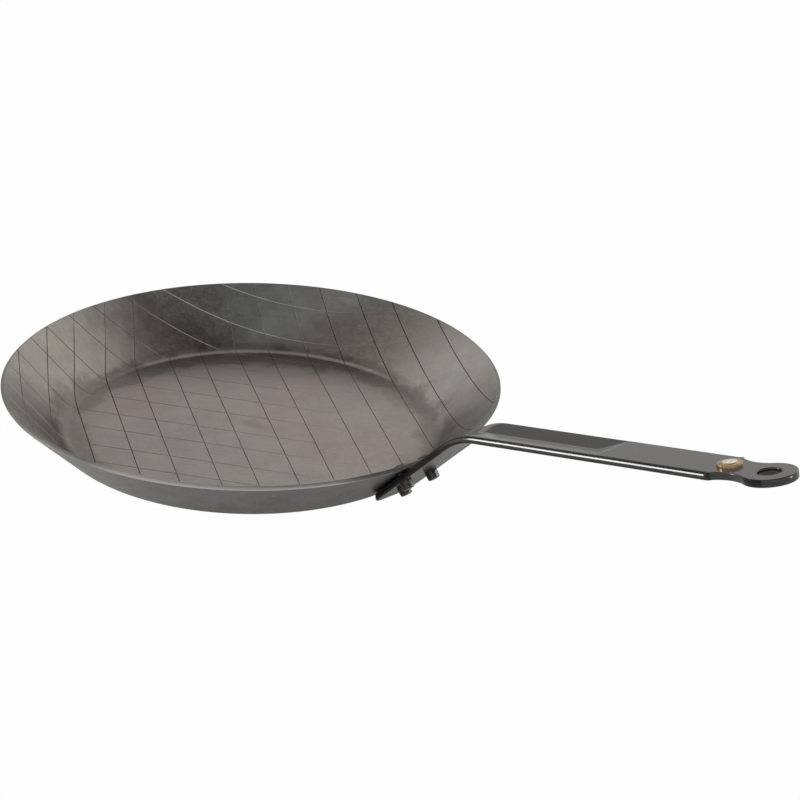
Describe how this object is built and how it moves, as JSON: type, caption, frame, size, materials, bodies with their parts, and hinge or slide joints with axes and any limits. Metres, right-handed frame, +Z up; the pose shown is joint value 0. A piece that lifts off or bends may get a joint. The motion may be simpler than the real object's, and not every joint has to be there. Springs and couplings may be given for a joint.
{
  "type": "grill pan",
  "caption": "Round shallow steel grill pan with a flared wall, a scored diamond lattice inside and a riveted strip handle with a hanging eye.",
  "frame": {"origin": "centre of the base, on its underside", "axes": "+X along the handle, away from the pan; +Z up, out of the pan; +Y to the left of the handle"},
  "size_m": [0.4825, 0.26, 0.108],
  "materials": {
    "pan_steel": "satin grey steel, faintly mottled",
    "handle_steel": "glossy black coat over steel strip",
    "rivet_steel": "dark blackened steel",
    "medallion_copper": "copper-coloured disc with a pale polished centre"
  },
  "bodies": {
    "root": {"pan_body": "pan_steel", "handle": "handle_steel", "rivet_left": "rivet_steel", "rivet_right": "rivet_steel", "rivet_lower": "rivet_steel", "medallion": "medallion_copper"}
  },
  "joints": []
}
